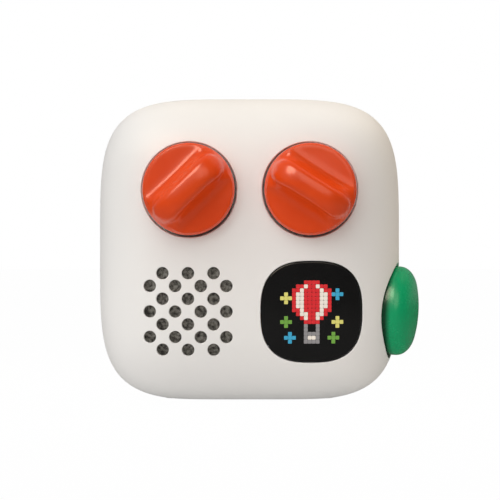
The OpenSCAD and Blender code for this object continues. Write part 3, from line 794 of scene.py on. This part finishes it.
# ---- Speaker behind the grille ----
# Grey woven acoustic cloth is glued to the inside of the front, over a small paper-cone
# driver in a black stamped frame with a plated magnet, sealed by a foam ring.


def cloth_paint(wire):
    across, up = (wire.node("SeparateXYZ", None, {0: wire.place()}, axis) for axis in (0, 2))
    weave = wire.sum("SINE", across * 12.5) * wire.sum("SINE", up * 12.5)
    worn = wire.grain(0.75, 3.0, 0.6)
    shade = wire.sum("MAXIMUM", (worn - 0.38) * 4.2 + weave * 0.18, 0.0)
    return {"Base Color": wire.tint(shade, (0.050, 0.047, 0.043), (0.40, 0.385, 0.345)),
            "Roughness": 0.85 + worn * 0.1, "Normal": wire.relief(weave + worn * 0.8, 0.06)}


grille_cloth = finish("grille_cloth", cloth_paint, Sheen_Weight=0.25)
cloth, behind = Moulding(), Surface(front_power, -1, wall, front_joint)
front_rings, back_rings = [], []
for radius in (0.01, 1.5, 3, 4.5, 6, 7.5, 9, 10.4, 11.6, 12.5):
    flat = circle(radius, 72, grille_at)(0)[0]
    p = behind.meet(upright(flat), np.array(to_front))
    n = behind.sides(p)
    front_rings.append((p + (0, 0.32, middle) * np.array([0, 1, 1]), n))
    back_rings.append((p + (0, 0.63, middle) * np.array([0, 1, 1]), -n))
cloth.strip(*front_rings)
cloth.strip(*back_rings)
rim_way = np.array([[math.cos(a), 0, math.sin(a)] for a in np.linspace(0, 2 * math.pi, 72, endpoint=False)])
cloth.strip((front_rings[-1][0], rim_way), (back_rings[-1][0], rim_way))
cloth.piece("grille_cloth", grille_cloth, body="casing", slot="cloth", stands_for=["speaker_cloth"])


def paper_paint(wire):
    pulp = wire.grain(0.7, 5.0, 0.7)
    return {"Base Color": wire.tint(pulp, (0.020, 0.020, 0.022), (0.045, 0.045, 0.048)),
            "Roughness": 0.7 + pulp * 0.2, "Normal": wire.relief(pulp, 0.03)}


def black_paint(wire):
    fine = wire.grain(0.35, 3.0)
    return {"Base Color": wire.tint(fine, (0.012, 0.012, 0.013), (0.021, 0.021, 0.023)),
            "Roughness": 0.42 + fine * 0.18, "Normal": wire.relief(fine, 0.012)}


def copper_paint(wire):
    fine = wire.grain(0.3, 3.0)
    return {"Base Color": wire.tint(fine, (0.62, 0.27, 0.10), (0.74, 0.36, 0.15)),
            "Roughness": 0.24 + fine * 0.2, "Normal": wire.relief(fine, 0.008)}


dress(finish("cone_paper", paper_paint), "cone", "speaker_cone", "dust_cap")
dress(finish("surround_rubber", rubber_paint), "surround", "speaker_surround")
dress(finish("gasket_foam", rubber_paint), "foam", "speaker_gasket")
black_moulding = finish("black_moulding", black_paint)
dress(black_moulding, "dark_plastic", "speaker_frame")
dress(finish("magnet_plating", steel_paint, Metallic=1.0), "magnet", "speaker_magnet")
bare_copper = finish("bare_copper", copper_paint, Metallic=1.0)
dress(bare_copper, "copper", "voice_coil")

# ---- Display ----
# A smoked, polished black window glued into its rounded-square opening, with a small
# picture of lit points under its surface; each colour of point is a piece of its own.


def smoked_paint(wire):
    haze = wire.grain(4.0, 4.0, 0.6)
    return {"Base Color": wire.tint(haze, (0.006, 0.006, 0.006), (0.010, 0.010, 0.010)),
            "Roughness": 0.075 + haze * 0.06, "Normal": wire.relief(haze, 0.01)}


smoked_window = finish("smoked_window", smoked_paint, Specular_IOR_Level=0.35)
face = Surface(front_power, -1, 0.0, front_joint)
pane_sunk, pane_edge, pane_back = 0.12, 0.3, -26.32
window, rings = Moulding(), []
pane = rounded_square(window_half - 0.15, window_power, 128)
full = pane(0)[0]
for share in (0.001, 0.15, 0.3, 0.45, 0.6, 0.75, 0.88, 0.96):
    flat = full * share + window_at
    p = face.meet(upright(flat), np.array(to_front))
    rings.append((p + (0, pane_sunk, middle), face.sides(p)))
for a in (0, 30, 60, 90):
    lean = math.radians(a)
    flat, out = pane(-pane_edge + pane_edge * math.sin(lean))
    flat = flat + window_at
    p = face.meet(upright(flat), np.array(to_front))
    rings.append((p + (0, pane_sunk + pane_edge - pane_edge * math.cos(lean), middle),
                  face.sides(p) * math.cos(lean) + upright(out) * math.sin(lean)))
p = rings[-1][0].copy()
p[:, 1] = pane_back
rings.append((p, rings[-1][1]))
window.strip(*rings)
window.lid(p, (window_at[0], pane_back, middle + window_at[1]), to_rear)
window.piece("window_pane", smoked_window, body="casing", slot="window", stands_for=["display_window"])

# the picture, top row first: r red, w pale, b blue, g green, y yellow, k grey
picture = ["......rrrr......",
           "....rrwrrwrr....",
           "...rrwrrrrwrr.b.",
           ".y.rwwrrrrwwrbbb",
           "yyyrwwrrrrwwr.b.",
           ".y.rwwrrrrwwr...",
           "...rwwrrrrwwr...",
           "...rrwrrrrwrr...",
           "....rwwrrwwr....",
           ".g...rwrrwr...y.",
           "ggg...rrrr...yyy",
           ".g....k..k....y.",
           "......k..k......",
           "..b...kkkk...g..",
           ".bbb..kwwk..ggg.",
           "..b...kkkk...g.."]
pixel = 0.885


def lit_paint(tint):
    def paint(wire):
        uneven = wire.grain(0.9, 2.0)
        return {"Base Color": wire.tint(uneven, [c * 0.20 for c in tint], [c * 0.30 for c in tint]),
                "Emission Color": wire.tint(uneven, [c * 0.84 for c in tint], [c * 1.10 for c in tint]),
                "Roughness": 0.22 + uneven * 0.1}
    return paint


for letter, name, tint in (("r", "red", (0.68, 0.022, 0.028)), ("w", "pale", (0.84, 0.76, 0.66)),
                           ("b", "blue", (0.045, 0.36, 0.56)), ("g", "green", (0.16, 0.36, 0.055)),
                           ("y", "yellow", (0.70, 0.64, 0.17)), ("k", "grey", (0.27, 0.255, 0.255))):
    tiles = Moulding()
    for j in range(16):
        for i in range(16):
            if picture[j][i] != letter:
                continue
            x, z = window_at[0] + (i - 7.5) * pixel, window_at[1] + (7.5 - j) * pixel
            tile = rounded_square(pixel / 2 - 0.015, 12, 16)
            stack = []
            for inset, back, ahead in ((0.03, 0.08, 1), (0.0, 0.10, 0.3), (0.0, 0.26, 0)):
                flat, out = tile(-inset)
                p = face.meet(upright(flat + (x, z)), np.array(to_front))
                n = face.sides(p) * ahead + upright(out) * (1 - ahead)
                stack.append((p + (0, back, middle), n))
            tiles.strip(*stack)
            hub = stack[0][0].mean(0)
            tiles.lid(stack[0][0], hub, stack[0][1].mean(0))
    tiles.piece("picture_points_" + name, finish("lit_" + name, lit_paint(tint), Emission_Strength=0.78,
                                                 Coat_Weight=0.3, Coat_Roughness=0.05),
                body="casing", slot="glow_" + name, stands_for=["picture_" + name])


def film_paint(wire):
    fine = wire.grain(0.5, 2.0)
    return {"Base Color": wire.tint(fine, (0.68, 0.68, 0.66), (0.78, 0.78, 0.76)),
            "Roughness": 0.5 + fine * 0.2}


def board_paint(wire):
    track = wire.node("TexVoronoi", {"feature": "DISTANCE_TO_EDGE"}, {"Vector": wire.place(), "Scale": 0.55})
    etched = track * 9.0 > 0.45
    fine = wire.grain(0.3, 2.0)
    return {"Base Color": wire.tint(etched, (0.030, 0.150, 0.070), (0.010, 0.085, 0.036)),
            "Roughness": 0.32 + fine * 0.16, "Normal": wire.relief(etched, 0.02)}


dress(finish("diffuser_film", film_paint), "film", "diffuser_film")
dress(black_moulding, "dark_plastic", "display_carrier", "pixel_grid")
circuit_board = finish("circuit_board", board_paint)
dress(circuit_board, "board", "light_board", "control_board")

# ---- Side button ----
# A glossy green domed cap in a round opening in the right side. It floats on a pale rubber
# bellows and presses a small switch that a black bracket holds behind it.


def green_paint(wire):
    cloud = wire.grain(6.0, 3.0)
    fine = wire.grain(0.5, 2.0)
    centre = button_at + (0, 0, middle)
    # Painted shade: the cap's side wall is painted dark green from 0.3 to 1.5 mm below the dome's foot along
    # the button's axis, for the shade in the gap round the cap.
    depth = wire.node("VectorMath", {"operation": "DOT_PRODUCT"}, {0: wire.place(), 1: button_out}, 1)
    deep = wire.node("MapRange", None, {0: depth - float(centre @ button_out),
                                        1: -0.3, 2: -1.5, 3: 0.0, 4: 1.0})
    unshaded_green = wire.tint(cloud, (0.000, 0.320, 0.118), (0.000, 0.360, 0.136))
    return {"Base Color": wire.tint(deep, unshaded_green, (0.000, 0.060, 0.022)),
            "Roughness": 0.23 + cloud * 0.06 + fine * 0.02,
            "Normal": wire.relief(cloud + fine * 0.15, 0.02)}


button_green = finish("button_green", green_paint, Specular_IOR_Level=0.45)
button = Moulding()
centre = button_at + (0, 0, middle)
dome = arc((5.05, 0), (5.2, 3.9), 0, 74, 14)
top = np.linspace(dome[-1][0], 0.001, 12)
level = dome[-1][1] + (4.5 - dome[-1][1]) * (1 - (top / dome[-1][0]) ** 2.0)
turned(button, centre, button_out, button_down,
       [(0.001, -8.75), (2, -8.75), (2, 1.4), (8.6, 1.4), (8.6, -6.5), (11.45, -6.5), (11.45, -5.6),
        (10.25, -5.6), (10.25, -0.2)] + dome + [(r, h) for r, h in zip(top[1:], level[1:])], 112, sharp=30)
button.piece("button_dome", button_green, body="side_button", slot="button", stands_for=["button_cap"])


def bellows_paint(wire):
    fine = wire.grain(0.5, 3.0)
    return {"Base Color": wire.tint(fine, (0.48, 0.48, 0.46), (0.58, 0.58, 0.55)),
            "Roughness": 0.6 + fine * 0.2, "Normal": wire.relief(fine, 0.02)}


dress(finish("bellows_rubber", bellows_paint), "silicone", "button_bellows")
dress(black_moulding, "dark_plastic", "button_bracket", "switch_body")
dress(finish("plunger_plastic", film_paint), "switch_pin", "switch_plunger")
dress(circuit_board, "board", "switch_board")

# ---- Card slot, power and sockets ----
# A black moulded chute under the slot in the top holds a story card in front of a reader
# coil. Battery, boards and sockets stand behind it, wired to the front.


def battery_paint(wire):
    crease = wire.grain(5.0, 5.0, 0.6)
    return {"Base Color": wire.tint(crease, (0.42, 0.44, 0.47), (0.55, 0.56, 0.58)),
            "Roughness": 0.3 + crease * 0.25, "Normal": wire.relief(crease, 0.15)}


def chip_paint(wire):
    fine = wire.grain(0.2, 2.0)
    return {"Base Color": wire.tint(fine, (0.010, 0.010, 0.011), (0.018, 0.018, 0.02)),
            "Roughness": 0.5 + fine * 0.2}


def lead_paint(tint):
    def paint(wire):
        fine = wire.grain(0.6, 2.0)
        return {"Base Color": wire.tint(fine, [c * 0.8 for c in tint], tint), "Roughness": 0.35 + fine * 0.2}
    return paint


def ribbon_paint(wire):
    fine = wire.grain(0.8, 2.0)
    return {"Base Color": wire.tint(fine, (0.42, 0.21, 0.045), (0.52, 0.27, 0.065)),
            "Roughness": 0.3 + fine * 0.15}


dress(black_moulding, "dark_plastic", "card_chute", "headphone_socket")
dress(circuit_board, "board", "antenna_board", "main_board", "port_board")
dress(bare_copper, "copper", "antenna_coil")
dress(finish("battery_foil", battery_paint, Metallic=0.4), "battery", "battery_pack")
dress(finish("shield_tin", steel_paint, Metallic=1.0), "can", "shield_can")
dress(finish("socket_steel", steel_paint, Metallic=1.0), "steel", "charge_socket")
dress(finish("chip_resin", chip_paint), "dark_plastic", "main_chips", "charge_tongue")
dress(finish("lead_red", lead_paint((0.42, 0.02, 0.02))), "lead_red", "speaker_leads")
dress(finish("lead_black", lead_paint((0.02, 0.02, 0.02))), "dark_plastic", "battery_leads")
dress(finish("ribbon_film", ribbon_paint), "ribbon", "display_ribbon")

# ---- Floor and light ----
# A white floor and surround that a camera sees as plain white, with the part's own shadow. A
# large soft lamp at the upper left and a weaker warm one at the upper right light the part, two
# more show only as highlights, and the fill is dimmer and warmer from the right.


def cleared(owner):
    """The emptied nodes of a material or the world."""
    owner.use_nodes = True
    owner.node_tree.nodes.clear()
    return Wire(owner.node_tree)


bpy.ops.mesh.primitive_plane_add(size=6)
floor = bpy.context.object
floor.name = "floor"
floor_paper = bpy.data.materials.new("floor_paper")
wire = cleared(floor_paper)
seen = wire.node("LightPath", out=0)
far = wire.node("VectorMath", {"operation": "LENGTH"}, {0: wire.place()}, 1)
near = wire.node("MapRange", {"interpolation_type": "SMOOTHSTEP"},
                 {0: far, 1: 50.0, 2: 270.0, 3: 1.0, 4: 0.16})
paper = wire.node("BsdfDiffuse", None, {"Color": wire.tint(near, (0.12, 0.12, 0.12), (0.70, 0.70, 0.70))})
white = wire.node("Emission", None, {"Color": (1, 1, 1, 1), "Strength": near * (1 - seen) + seen})
dark = wire.node("BsdfDiffuse", None, {"Color": (0.04, 0.04, 0.04, 1)})
lit = wire.node("MixShader", None, {0: seen * 0.59 + 0.40, 1: paper, 2: white})
both = wire.node("MixShader", None, {0: wire.node("LightPath", out=3) * 0.85, 1: lit, 2: dark})
wire.tree.links.new(both.socket, wire.tree.nodes.new("ShaderNodeOutputMaterial").inputs["Surface"])
floor.data.materials.append(floor_paper)

world = bpy.data.worlds.new("surround")
bpy.context.scene.world = world
wire = cleared(world)
seen = wire.node("LightPath", out=0)
mirrored = wire.sum("MAXIMUM", wire.node("LightPath", out=3), wire.node("LightPath", out=6))
rightward, rearward = (wire.node("SeparateXYZ", None, {0: wire.node("TexCoord")}, axis) for axis in (0, 1))
behind = wire.node("MapRange", {"interpolation_type": "SMOOTHSTEP"},
                   {0: rearward, 1: -0.25, 2: 0.55, 3: 0.05, 4: 0.26})
across = wire.node("MapRange", {"interpolation_type": "SMOOTHSTEP"},
                   {0: rightward, 1: -0.7, 2: 0.7, 3: 0.0, 4: 1.0})
fill = wire.node("Background", None, {"Color": wire.tint(across, (0.98, 0.985, 1.0), (0.46, 0.40, 0.355)),
                                      "Strength": 0.74})
reflected = wire.node("Background", None, {"Color": (1, 1, 1, 1), "Strength": behind})
backdrop = wire.node("Background", None, {"Color": (1, 1, 1, 1), "Strength": 1.0})
soft = wire.node("MixShader", None, {0: mirrored, 1: fill, 2: reflected})
both = wire.node("MixShader", None, {0: seen, 1: soft, 2: backdrop})
wire.tree.links.new(both.socket, wire.tree.nodes.new("ShaderNodeOutputWorld").inputs["Surface"])


def lamp(name, at, size, power, tint=(1, 1, 1)):
    light = bpy.data.lights.new(name, "AREA")
    light.shape, light.size, light.energy, light.color = "DISK", size, power, tint
    made = bpy.data.objects.new(name, light)
    bpy.context.collection.objects.link(made)
    made.location = at
    made.rotation_mode = "QUATERNION"
    made.rotation_quaternion = (Vector((0, 0, 0.035)) - Vector(at)).to_track_quat("-Z", "Y")
    return made


lamp("key_lamp", (-0.36, -0.68, 0.72), 1.50, 8.0, (1.0, 0.99, 0.975)).visible_glossy = False
lamp("gleam", (-0.40, -0.58, 0.76), 0.72, 12.0, (1.0, 0.86, 0.68)).visible_diffuse = False
lamp("sheen", (0.19, -0.60, 0.33), 0.50, 1.3, (1.0, 0.88, 0.70)).visible_diffuse = False
lamp("warm_rim", (0.45, 0.20, 0.65), 0.40, 2.4, (1.0, 0.86, 0.66)).visible_glossy = False
bpy.context.scene.view_settings.view_transform = "Standard"
